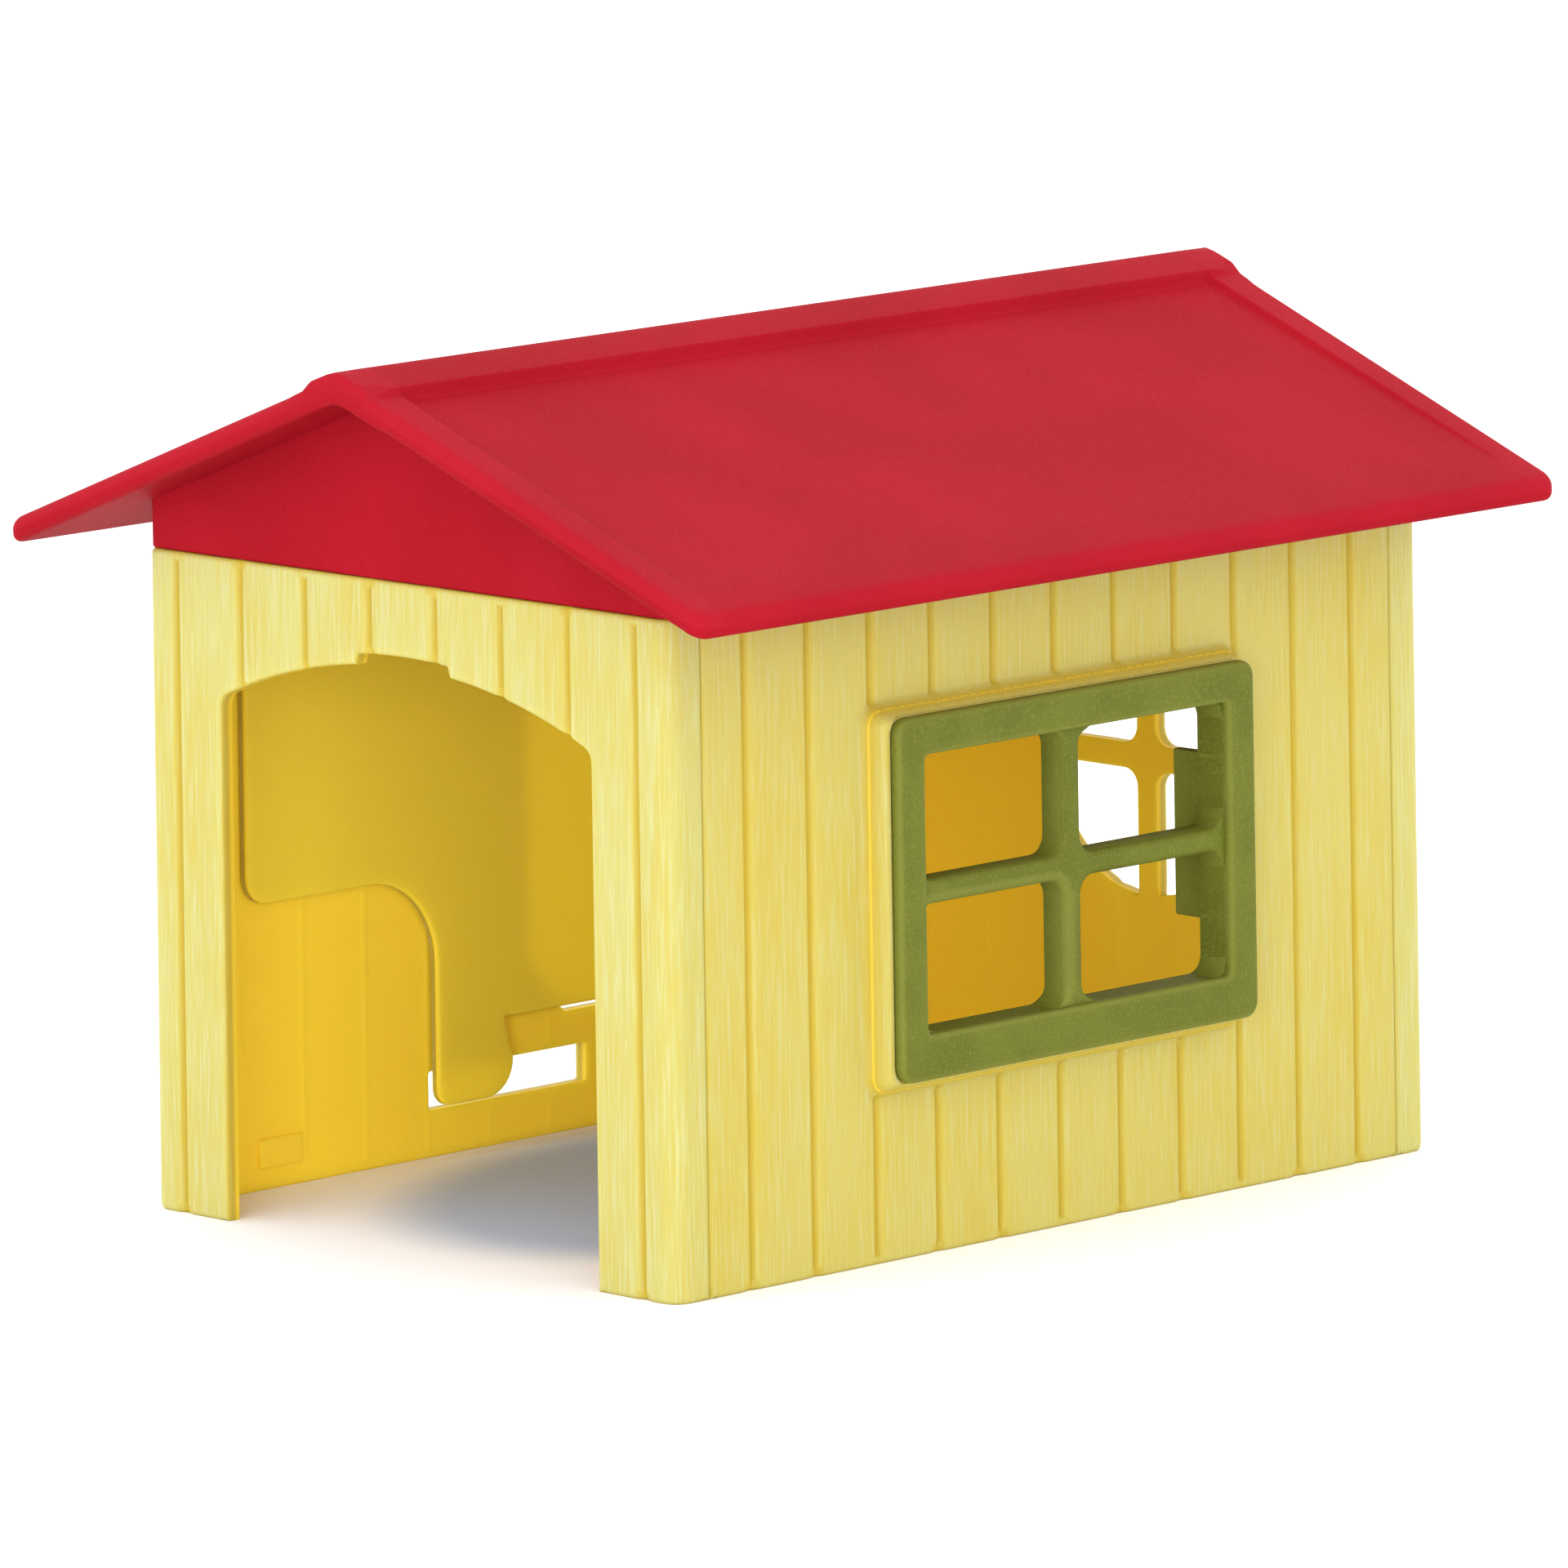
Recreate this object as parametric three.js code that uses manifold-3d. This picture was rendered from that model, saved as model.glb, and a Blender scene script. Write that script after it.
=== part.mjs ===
// Small plastic playhouse: four moulded wall panels, an inner board, a snap-in window and a lift-off roof.
// Millimetres, +Z up. The origin is on the floor, at the middle of the four walls.
// +X runs across the house, -Y is the doorway end and +X is the window side.
import * as THREE from "three";
import { mergeVertices } from "three/addons/utils/BufferGeometryUtils.js";
import Module from "manifold-3d";

const wasm = await Module();
wasm.setup();

// ---- driving dimensions -------------------------------------------------------------------------
const houseWidth = 100;          // over the side walls, at the floor
const houseLength = 141.8;       // over the end walls, at the floor
const wallHeight = 88.9;
const wallThickness = 2.4;
const wallDraft = 0.45;          // how far each face leans in between the floor and the wall's top
const cornerRadius = 2.4;
const slipGap = 0.3;             // clearance between pieces that touch or slide together
const cutMargin = 1;             // how far a cutting tool runs past the face it cuts

const cornerBoard = 6.2;         // width of the board on each side of a corner
const endPlanks = 7;             // planks across an end wall
const sidePlanks = 10;           // full planks along a side wall
const narrowPlank = 7.7;         // first and last plank of a side wall
const grooveWidth = 1;
const grooveDepth = 0.45;

const tongueThickness = 1.6;     // upright tongue of a side wall, held behind the corner board
const tongueFoot = 3;            // how far the tongue's root runs along the side wall
const ribThickness = 1.6;        // rib of an end wall that holds the tongue from inside
const ribReach = 5.8;

const doorHalfWidth = 35.4;
const doorHead = 11.1;           // wall left above the arch's top
const doorArchRadius = 88;
const doorCornerRadius = 2.2;
const doorNotchHalfWidth = 9;
const doorNotchRise = 1.4;

const roundWindowRadius = 19.2;
const roundWindowHeight = 48.6;  // centre above the floor
const roundBarWidth = 3.6;
const roundPaneCorner = 2.5;

const flangeWidth = 67.2;        // green window, over its flange along Y
const flangeHeight = 48;
const flangeThickness = 1.5;
const flangeCorner = 2.2;
const flangeRound = 0.6;         // rounding of the flange's front edge
const windowHeight = 48;         // centre of the flange above the floor
const rimWidth = 5.1;            // flange on each side of the clear opening
const rimHeight = 5.6;           // flange above and below the clear opening
const openingRise = 0.4;         // the clear opening sits this much above the flange's centre
const revealThickness = 1.6;
const revealDepth = 6;           // front of the flange to the back of the reveal
const paneBarWidth = 3.2;
const paneBarSetBack = 1.4;      // front of the cross bars behind the front of the flange
const paneCorner = 2.5;
const tabLength = 4.6;           // snap tab behind the reveal
const tabHeight = 22.4;
const tabBarb = 1;

const surroundProud = 2.8;       // raised surround round the window
const surroundMargin = 1.8;      // surround's foot outside the flange
const surroundRound = 1.2;
const surroundCorner = 3;

const boardThickness = 1.5;      // inner board on the left wall
const boardFront = 14;           // distances along the wall start at the doorway face
const boardBack = 111;
const boardTop = 78;
const boardShelf = 39.2;         // low edge of the front part
const boardFoot = 17.8;          // low edge of the back part
const boardCorner = 3.8;
const boardSweep = 12;           // radius of the sweep down to the tongue
const boardTongueFront = 48.5;
const boardTongueBack = 62.6;
const boardTongueFoot = 7.1;
const boardTongueCorner = 5;

const slotFront = 48.3;          // low slot in the left wall
const slotBack = 77.8;
const slotFoot = 6.5;
const slotTop = 11.8;
const hatchFront = 66;           // hatch in the left wall, closed by the inner board
const hatchBack = 105;
const hatchFoot = 16.7;
const hatchTop = 62;
const hatchCorner = 4;
const padFront = 16.8;           // small raised blank pad inside the left wall
const padBack = 24.6;
const padFoot = 3;
const padTop = 7;
const padProud = 0.5;

const roofSideRise = 8.75;       // top of the slope above the roof's foot, over a side wall's face
const eaveOverhang = 15.7;       // past the side walls
const roofFall = 0.383;          // fall of the slope for each millimetre outwards
const roofThickness = 3.4;       // upright thickness of the slab
const roofOverhang = 9.6;        // past the end walls, at the eaves
const roofRake = 1.1;            // how much further the verge stands out at the ridge
const eaveRound = 1.2;
const ridgeCapHalfWidth = 6;
const ridgeCapRise = 0.8;
const ridgeFlat = 0.9;           // half width of the flattened ridge line
const vergeBand = 4.8;
const fieldDepth = 0.85;         // recess of the field beside the ridge cap
const fieldMargin = 7;           // the recess runs out this far before the eave
const skirtInset = 0.5;          // skirt and gables stand back from the wall faces
const skirtThickness = 3;
const lugDepth = 6;              // locating lugs reach this far down inside the walls
const lugThickness = 1.6;
const lugWidth = 14;
const lugSpread = 35;            // lugs of a long side, from the middle
const endLugSpread = 22;         // lugs of a short side, from the middle

// ---- sizes that follow --------------------------------------------------------------------------
const halfWidth = houseWidth / 2;
const halfLength = houseLength / 2;
const halfGap = slipGap / 2;
const sideInner = halfWidth - wallThickness;
const tongueOuter = sideInner - slipGap;
const tongueInner = tongueOuter - tongueThickness;
const ribOuter = tongueInner - slipGap;
const ribInner = ribOuter - ribThickness;
const endPlank = (houseWidth - 2 * cornerBoard) / endPlanks;
const sidePlank = (houseLength - 2 * (cornerBoard + narrowPlank)) / sidePlanks;
const surroundFace = halfWidth + surroundProud;
const openingWidth = flangeWidth - 2 * rimWidth;
const openingHeight = flangeHeight - 2 * rimHeight;
const flangeBack = surroundFace + slipGap;
const flangeFront = flangeBack + flangeThickness;
const revealBack = flangeFront - revealDepth;
const revealHalfWidth = openingWidth / 2 + revealThickness;
const revealHalfHeight = openingHeight / 2 + revealThickness;
const openingCentre = windowHeight + openingRise;
const skirtHalfWidth = halfWidth - wallDraft - skirtInset;
const skirtHalfLength = halfLength - wallDraft - skirtInset;
const doorCrown = wallHeight - doorHead;
const roofBase = wallHeight + slipGap;
const roofTop = roofBase + roofSideRise + roofFall * halfWidth;   // top of the slope at the middle
const roofHalfSpan = halfWidth + eaveOverhang;
const fieldEnd = roofHalfSpan - fieldMargin;
const roofHalfLength = halfLength + roofOverhang;

// ---- shapes and solids --------------------------------------------------------------------------
function toSolid(geometry) {
  geometry.deleteAttribute("normal");
  geometry.deleteAttribute("uv");
  const merged = mergeVertices(geometry, 1e-4);
  return new wasm.Manifold(new wasm.Mesh({
    numProp: 3,
    vertProperties: new Float32Array(merged.attributes.position.array),
    triVerts: new Uint32Array(merged.index.array),
  }));
}

function toGeometry(solid) {
  const mesh = solid.getMesh();
  const geometry = new THREE.BufferGeometry();
  geometry.setAttribute("position", new THREE.BufferAttribute(mesh.vertProperties, 3));
  geometry.setIndex(new THREE.BufferAttribute(mesh.triVerts, 1));
  return geometry;
}

function extrude(shape, depth, options = {}) {
  return new THREE.ExtrudeGeometry(shape, { depth, bevelEnabled: false, curveSegments: 5, ...options });
}

// A plan outline in X and Y, raised from one height to another.
function raised(shape, low, high) {
  return toSolid(extrude(shape, high - low).translate(0, 0, low));
}

// An outline in Y and Z, carried along X.
const acrossAxes = new THREE.Matrix4().makeBasis(
  new THREE.Vector3(0, 1, 0),
  new THREE.Vector3(0, 0, 1),
  new THREE.Vector3(1, 0, 0),
);

function across(shape, low, high, options) {
  return toSolid(extrude(shape, high - low, options).applyMatrix4(acrossAxes).translate(low, 0, 0));
}

// An outline in X and Z, carried along Y.
function along(shape, low, high, options) {
  return toSolid(extrude(shape, high - low, options).rotateX(Math.PI / 2).translate(0, high, 0));
}

function block(lowX, highX, lowY, highY, lowZ, highZ) {
  const box = new THREE.BoxGeometry(highX - lowX, highY - lowY, highZ - lowZ);
  return toSolid(box.translate((lowX + highX) / 2, (lowY + highY) / 2, (lowZ + highZ) / 2));
}

function outline(points) {
  return new THREE.Shape(points.map(([a, b]) => new THREE.Vector2(a, b)));
}

function roundedRect(centreA, centreB, width, height, radius) {
  const [a, b] = [width / 2 - radius, height / 2 - radius];
  const shape = new THREE.Shape();
  shape.absarc(centreA + a, centreB + b, radius, 0, Math.PI / 2);
  shape.absarc(centreA - a, centreB + b, radius, Math.PI / 2, Math.PI);
  shape.absarc(centreA - a, centreB - b, radius, Math.PI, 1.5 * Math.PI);
  shape.absarc(centreA + a, centreB - b, radius, 1.5 * Math.PI, 2 * Math.PI);
  shape.closePath();
  return shape;
}

// The walls and what they carry lean in together with height, so their gaps stay as drawn.
function leanIn(geometry) {
  const position = geometry.attributes.position;
  for (let i = 0; i < position.count; i += 1) {
    const lean = (wallDraft * position.getZ(i)) / wallHeight;
    position.setX(i, position.getX(i) * (1 - lean / halfWidth));
    position.setY(i, position.getY(i) * (1 - lean / halfLength));
  }
  return geometry;
}

function named(name, geometry, color, roughness) {
  const material = new THREE.MeshStandardMaterial({ color, roughness, metalness: 0 });
  const mesh = new THREE.Mesh(geometry, material);
  mesh.name = name;
  return mesh;
}

const yellow = 0xe9d45f;
const green = 0x84913c;
const red = 0xc02434;

// ---- walls --------------------------------------------------------------------------------------
// Three points of one plank groove, cut down from face level `face` towards `face + inward`.
function grooveAt(place, inward) {
  return [[place - grooveWidth / 2, 0], [place, inward * grooveDepth], [place + grooveWidth / 2, 0]];
}

// Plan of an end wall: its outer face lies at v = 0 and v grows into the house.
function endWallPlan() {
  const seam = cornerBoard - halfGap;
  const chamfer = grooveWidth / 2 - halfGap;
  const points = [];
  for (let i = 0; i <= endPlanks; i += 1) {
    points.push(...grooveAt(-halfWidth + cornerBoard + i * endPlank, 1));
  }
  const right = [
    [halfWidth, seam - chamfer],
    [halfWidth - grooveDepth, seam],
    [sideInner, seam],
    [sideInner, wallThickness],
    [ribOuter, wallThickness],
    [ribOuter, wallThickness + ribReach],
    [ribInner, wallThickness + ribReach],
    [ribInner, wallThickness],
  ];
  const left = right.map(([u, v]) => [-u, v]).reverse();
  const shape = new THREE.Shape();
  shape.absarc(-halfWidth + cornerRadius, cornerRadius, cornerRadius, Math.PI, 1.5 * Math.PI);
  points.forEach(([u, v]) => shape.lineTo(u, v));
  shape.absarc(halfWidth - cornerRadius, cornerRadius, cornerRadius, 1.5 * Math.PI, 2 * Math.PI);
  [...right, ...left].forEach(([u, v]) => shape.lineTo(u, v));
  shape.closePath();
  return shape;
}

// The doorway: upright sides, a shallow arch on small corners, and a low notch at its top.
function doorwayShape() {
  const centre = doorCrown - doorArchRadius;
  const cornerSide = doorHalfWidth - doorCornerRadius;
  const cornerUp = Math.sqrt((doorArchRadius - doorCornerRadius) ** 2 - cornerSide ** 2);
  const spring = Math.atan2(cornerUp, cornerSide);
  const notchRadius = doorArchRadius + doorNotchRise;
  const archNotch = Math.acos(doorNotchHalfWidth / doorArchRadius);
  const topNotch = Math.acos(doorNotchHalfWidth / notchRadius);
  const shape = new THREE.Shape();
  shape.moveTo(-doorHalfWidth, -cutMargin);
  shape.lineTo(doorHalfWidth, -cutMargin);
  shape.absarc(cornerSide, centre + cornerUp, doorCornerRadius, 0, spring);
  shape.absarc(0, centre, doorArchRadius, spring, archNotch);
  shape.absarc(0, centre, notchRadius, topNotch, Math.PI - topNotch);
  shape.absarc(0, centre, doorArchRadius, Math.PI - archNotch, Math.PI - spring);
  shape.absarc(-cornerSide, centre + cornerUp, doorCornerRadius, Math.PI - spring, Math.PI);
  shape.closePath();
  return shape;
}

function frontWall() {
  const panel = raised(endWallPlan(), 0, wallHeight).translate([0, -halfLength, 0]);
  const doorway = along(doorwayShape(), -halfLength - cutMargin, -halfLength + wallThickness + cutMargin);
  return named("front_wall", leanIn(toGeometry(panel.subtract(doorway))), yellow, 0.55);
}

// One quarter of the round window, with its inner corner rounded where the bars cross.
function roundPane() {
  const bar = roundBarWidth / 2;
  const edge = Math.asin(bar / roundWindowRadius);
  const shape = new THREE.Shape();
  shape.absarc(0, 0, roundWindowRadius, edge, Math.PI / 2 - edge);
  shape.absarc(bar + roundPaneCorner, bar + roundPaneCorner, roundPaneCorner, Math.PI, 1.5 * Math.PI);
  shape.closePath();
  return shape;
}

function backWall() {
  const plan = raised(endWallPlan(), 0, wallHeight).rotate([0, 0, 180]).translate([0, halfLength, 0]);
  const low = halfLength - wallThickness - cutMargin;
  let panel = plan;
  for (let quarter = 0; quarter < 4; quarter += 1) {
    const pane = along(roundPane(), low, halfLength + cutMargin, { curveSegments: 8 });
    panel = panel.subtract(pane.rotate([0, 90 * quarter, 0]).translate([0, 0, roundWindowHeight]));
  }
  return named("back_wall", leanIn(toGeometry(panel)), yellow, 0.55);
}

// Plan of the right side wall, with the upright tongues that slide down behind the corner boards.
function sideWallPlan() {
  const seam = halfLength - cornerBoard - halfGap;
  const chamfer = grooveWidth / 2 - halfGap;
  const tongueEnd = halfLength - wallThickness - slipGap;
  const points = [];
  for (let i = 0; i <= sidePlanks; i += 1) {
    const place = -halfLength + cornerBoard + narrowPlank + i * sidePlank;
    points.push(...grooveAt(place, -1).map(([y, inward]) => [halfWidth + inward, y]));
  }
  const back = [
    [halfWidth, seam - chamfer],
    [halfWidth - grooveDepth, seam],
    [sideInner, seam],
    [tongueOuter, seam],
    [tongueOuter, tongueEnd],
    [tongueInner, tongueEnd],
    [tongueInner, seam - tongueFoot],
    [sideInner, seam - tongueFoot],
  ];
  const front = back.map(([x, y]) => [x, -y]).reverse();
  return outline([...front, ...points, ...back]);
}

// Raised surround of the window, with a rounded edge; it starts inside the wall's thickness.
function surround() {
  const options = {
    bevelEnabled: true,
    bevelThickness: surroundRound,
    bevelSize: surroundRound,
    bevelOffset: -surroundRound,
    bevelSegments: 3,
  };
  const shape = roundedRect(0, windowHeight, flangeWidth + 2 * surroundMargin,
    flangeHeight + 2 * surroundMargin, surroundCorner);
  const boss = across(shape, sideInner, surroundFace - surroundRound, options);
  return boss.subtract(block(0, sideInner + cutMargin, -halfLength, halfLength, 0, wallHeight));
}

function rightWall() {
  const hole = roundedRect(0, openingCentre, 2 * (revealHalfWidth + slipGap),
    2 * (revealHalfHeight + slipGap), paneCorner);
  const cut = across(hole, tongueInner - cutMargin, surroundFace + cutMargin);
  const panel = raised(sideWallPlan(), 0, wallHeight).add(surround()).subtract(cut);
  return named("right_wall", leanIn(toGeometry(panel)), yellow, 0.55);
}

// The hatch: a rounded opening whose low front corner is cut off at a slant.
function hatchShape() {
  const [front, back] = [hatchFront - halfLength, hatchBack - halfLength];
  const slant = 2 * hatchCorner;
  const shape = new THREE.Shape();
  shape.moveTo(front, hatchFoot + slant);
  shape.lineTo(front + slant, hatchFoot);
  shape.absarc(back - hatchCorner, hatchFoot + hatchCorner, hatchCorner, 1.5 * Math.PI, 2 * Math.PI);
  shape.absarc(back - hatchCorner, hatchTop - hatchCorner, hatchCorner, 0, Math.PI / 2);
  shape.absarc(front + hatchCorner, hatchTop - hatchCorner, hatchCorner, Math.PI / 2, Math.PI);
  shape.closePath();
  return shape;
}

function leftWall() {
  const [outside, inside] = [-halfWidth - cutMargin, -tongueInner + cutMargin];
  const slot = block(outside, inside, slotFront - halfLength, slotBack - halfLength, slotFoot, slotTop);
  const pad = block(-sideInner - wallThickness / 2, -sideInner + padProud,
    padFront - halfLength, padBack - halfLength, padFoot, padTop);
  const panel = raised(sideWallPlan(), 0, wallHeight).mirror([1, 0, 0]).add(pad)
    .subtract(slot).subtract(across(hatchShape(), outside, inside));
  return named("left_wall", leanIn(toGeometry(panel)), yellow, 0.55);
}

// ---- inner board --------------------------------------------------------------------------------
// Outline in Y and Z: a stepped board with one hanging tongue in front of the low slot.
function boardShape() {
  const place = (distance) => distance - halfLength;
  const quarter = Math.PI / 2;
  const shape = new THREE.Shape();
  const sweepY = place(boardTongueFront - boardSweep);
  shape.absarc(place(boardFront) + boardCorner, boardShelf + boardCorner, boardCorner, 2 * quarter, 3 * quarter);
  shape.absarc(sweepY, boardShelf - boardSweep, boardSweep, quarter, 0, true);
  const tongueY = [place(boardTongueFront) + boardTongueCorner / 2, place(boardTongueBack) - boardTongueCorner];
  shape.absarc(tongueY[0], boardTongueFoot + boardTongueCorner / 2, boardTongueCorner / 2, 2 * quarter, 3 * quarter);
  shape.absarc(tongueY[1], boardTongueFoot + boardTongueCorner, boardTongueCorner, 3 * quarter, 4 * quarter);
  shape.lineTo(place(boardTongueBack), boardFoot);
  shape.absarc(place(boardBack) - boardCorner, boardFoot + boardCorner, boardCorner, 3 * quarter, 4 * quarter);
  shape.absarc(place(boardBack) - boardCorner, boardTop - boardCorner, boardCorner, 0, quarter);
  shape.absarc(place(boardFront) + boardCorner, boardTop - boardCorner, boardCorner, quarter, 2 * quarter);
  return shape;
}

function innerBoard() {
  const outer = -sideInner + slipGap;
  const solid = across(boardShape(), outer, outer + boardThickness);
  return named("inner_board", leanIn(toGeometry(solid)), yellow, 0.55);
}

// ---- green window -------------------------------------------------------------------------------
function snapTab(side) {
  const [low, high] = [openingCentre - tabHeight / 2, openingCentre + tabHeight / 2];
  const inner = side * openingWidth / 2;
  const outer = side * revealHalfWidth;
  const tip = outer + side * (slipGap + tabBarb);
  const tabBack = revealBack - tabLength;
  const hook = outline([
    [revealBack + cutMargin, inner],
    [tabBack, inner],
    [tabBack, outer],
    [sideInner - slipGap - tabBarb, tip],
    [sideInner - slipGap, tip],
    [sideInner - slipGap, outer],
    [revealBack + cutMargin, outer],
  ]);
  return raised(hook, low, high);
}

function windowFrame() {
  const bevel = {
    bevelEnabled: true,
    bevelThickness: flangeRound,
    bevelSize: flangeRound,
    bevelOffset: -flangeRound,
    bevelSegments: 2,
  };
  const flangeOutline = roundedRect(0, windowHeight, flangeWidth, flangeHeight, flangeCorner);
  const flange = across(flangeOutline, flangeBack + flangeRound, flangeFront - flangeRound, bevel);
  const reveal = roundedRect(0, openingCentre, 2 * revealHalfWidth, 2 * revealHalfHeight, paneCorner);
  const opening = roundedRect(0, openingCentre, openingWidth, openingHeight, flangeRound);
  const paneWidth = (openingWidth - paneBarWidth) / 2;
  const paneHeight = (openingHeight - paneBarWidth) / 2;
  let frame = flange.add(across(reveal, revealBack, flangeBack + flangeThickness / 2));
  frame = frame.subtract(across(opening, flangeFront - paneBarSetBack, flangeFront + cutMargin));
  for (const sideways of [-1, 1]) {
    for (const upward of [-1, 1]) {
      const pane = roundedRect((sideways * (paneWidth + paneBarWidth)) / 2,
        openingCentre + (upward * (paneHeight + paneBarWidth)) / 2, paneWidth, paneHeight, paneCorner);
      frame = frame.subtract(across(pane, revealBack - cutMargin, flangeFront + cutMargin));
    }
    frame = frame.add(snapTab(sideways));
  }
  return named("window_frame", leanIn(toGeometry(frame)), green, 0.6);
}

// ---- roof ---------------------------------------------------------------------------------------
const slope = (height, x) => height - roofFall * Math.abs(x);

// Section of the slab in X and Z, with the ridge cap standing on it.
function slabShape() {
  const low = roofTop - roofThickness;
  const half = [
    [ridgeFlat, slope(roofTop + ridgeCapRise, ridgeFlat)],
    [ridgeCapHalfWidth, slope(roofTop + ridgeCapRise, ridgeCapHalfWidth)],
    [ridgeCapHalfWidth, slope(roofTop, ridgeCapHalfWidth)],
    [roofHalfSpan - eaveRound, slope(roofTop, roofHalfSpan - eaveRound)],
    [roofHalfSpan, slope(roofTop, roofHalfSpan) - eaveRound],
    [roofHalfSpan, slope(low, roofHalfSpan) + eaveRound],
    [roofHalfSpan - eaveRound, slope(low, roofHalfSpan - eaveRound)],
  ];
  const other = half.map(([x, z]) => [-x, z]).reverse();
  return outline([...half, [0, low], ...other]);
}

// Cuts the slab's ends so that the verge stands out a little further at the ridge than at the eaves.
function endCut(side) {
  const [eave, ridge] = [side * roofHalfLength, side * (roofHalfLength + roofRake)];
  const past = side * (roofHalfLength + roofRake + cutMargin);
  const reach = roofHalfSpan + cutMargin;
  const plan = outline([[-reach, eave], [0, ridge], [reach, eave], [reach, past], [-reach, past]]);
  return raised(plan, 0, 2 * roofTop);
}

function fieldRecess(side) {
  const start = side * ridgeCapHalfWidth;
  const end = side * fieldEnd;
  const above = 2 * fieldDepth;
  const section = outline([
    [start, slope(roofTop, start) - fieldDepth],
    [end, slope(roofTop, end)],
    [end, slope(roofTop, end) + above],
    [start, slope(roofTop, start) + above],
  ]);
  const reach = roofHalfLength - vergeBand;
  return along(section, -reach, reach);
}

// Gables and skirt as one ring, open below, whose tops are buried in the slab.
function skirtRing() {
  const low = roofTop - roofThickness;
  const section = (halfSpan, top) => outline([
    [-halfSpan, roofBase],
    [halfSpan, roofBase],
    [halfSpan, slope(top, halfSpan)],
    [0, top],
    [-halfSpan, slope(top, halfSpan)],
  ]);
  const outer = along(section(skirtHalfWidth, low + roofThickness / 2), -skirtHalfLength, skirtHalfLength);
  const innerSpan = skirtHalfWidth - skirtThickness;
  const innerReach = skirtHalfLength - skirtThickness;
  const inner = along(section(innerSpan, low), -innerReach, innerReach);
  return outer.subtract(inner.add(inner.translate([0, 0, -cutMargin])));
}

// Lugs that stand down just inside the wall tops, two to each side.
function lugs() {
  const low = wallHeight - lugDepth;
  const high = roofBase + skirtThickness;
  const outerX = halfWidth - wallDraft - wallThickness - slipGap;
  const outerY = halfLength - wallDraft - wallThickness - slipGap;
  const half = lugWidth / 2;
  const all = [];
  for (const side of [-1, 1]) {
    for (const way of [-1, 1]) {
      const faceX = [side * outerX, side * (outerX - lugThickness)].sort((a, b) => a - b);
      const faceY = [side * outerY, side * (outerY - lugThickness)].sort((a, b) => a - b);
      const placeY = way * lugSpread;
      const placeX = way * endLugSpread;
      all.push(block(...faceX, placeY - half, placeY + half, low, high));
      all.push(block(placeX - half, placeX + half, ...faceY, low, high));
    }
  }
  return all;
}

function roof() {
  const reach = roofHalfLength + roofRake;
  let solid = along(slabShape(), -reach, reach);
  for (const side of [-1, 1]) {
    solid = solid.subtract(endCut(side)).subtract(fieldRecess(side));
  }
  solid = solid.add(skirtRing());
  for (const lug of lugs()) {
    solid = solid.add(lug);
  }
  return named("roof", toGeometry(solid), red, 0.6);
}

// ---- the whole house ----------------------------------------------------------------------------
const playhouse = new THREE.Group();
playhouse.add(frontWall(), backWall(), rightWall(), leftWall(), innerBoard(), windowFrame(), roof());

export default playhouse;
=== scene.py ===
import math

import bmesh
import bpy
import numpy as np
from mathutils import Matrix, Vector
from mathutils.geometry import delaunay_2d_cdt


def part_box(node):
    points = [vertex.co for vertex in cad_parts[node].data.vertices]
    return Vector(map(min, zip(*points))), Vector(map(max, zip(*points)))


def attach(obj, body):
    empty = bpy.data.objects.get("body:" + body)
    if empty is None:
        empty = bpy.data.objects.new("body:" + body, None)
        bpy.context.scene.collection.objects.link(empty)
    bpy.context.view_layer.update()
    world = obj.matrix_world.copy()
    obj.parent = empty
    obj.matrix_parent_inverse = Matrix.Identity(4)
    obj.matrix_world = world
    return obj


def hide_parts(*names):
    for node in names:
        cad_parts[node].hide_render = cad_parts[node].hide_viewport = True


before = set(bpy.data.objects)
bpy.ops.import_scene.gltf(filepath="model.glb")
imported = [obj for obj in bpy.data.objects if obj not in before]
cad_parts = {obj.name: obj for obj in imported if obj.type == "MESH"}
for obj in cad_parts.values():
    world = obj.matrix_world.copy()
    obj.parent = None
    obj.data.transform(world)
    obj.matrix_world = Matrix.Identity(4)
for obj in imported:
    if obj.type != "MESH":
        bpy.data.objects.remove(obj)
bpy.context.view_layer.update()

mm = 0.001                      # shapes below are worked out in millimetres
print("stage: frame loaded")

# the walls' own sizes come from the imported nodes
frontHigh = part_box("front_wall")[1]
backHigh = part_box("back_wall")[1]
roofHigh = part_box("roof")[1]
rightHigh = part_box("right_wall")[1]
frameLow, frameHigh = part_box("window_frame")

house = {
    "halfWidth": frontHigh.x / mm,
    "halfLength": backHigh.y / mm,
    "height": frontHigh.z / mm,
    "thickness": 2.4,
    "lean": 0.45,               # each face leans in this much by the top
    "gap": 0.3,                 # clearance between pieces that touch
    "seam": -0.02,              # corner boards and side walls just meet, with rounded edges
    "cornerBoard": 6.2,
    "cornerRadius": 2.6,
    "edgeRound": 0.8,
    "edgeDepth": 0.55,          # rounded edges are flatter than a quarter circle
    "innerEdge": 0.6,           # and flatter again on the inside
    "rows": 62,                 # mesh rows up a wall
}


# outlines are lists of (u, w) points in millimetres

def arc(centre, radius, startDegrees, endDegrees, steps=8):
    angles = np.radians(np.linspace(startDegrees, endDegrees, steps + 1))
    return [(centre[0] + radius * math.cos(a), centre[1] + radius * math.sin(a)) for a in angles]


def roundedRect(centre, width, height, radius, steps=7):
    a, b = width / 2 - radius, height / 2 - radius
    x, y = centre
    return (arc((x + a, y + b), radius, 0, 90, steps) + arc((x - a, y + b), radius, 90, 180, steps)
            + arc((x - a, y - b), radius, 180, 270, steps) + arc((x + a, y - b), radius, 270, 360, steps))


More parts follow.
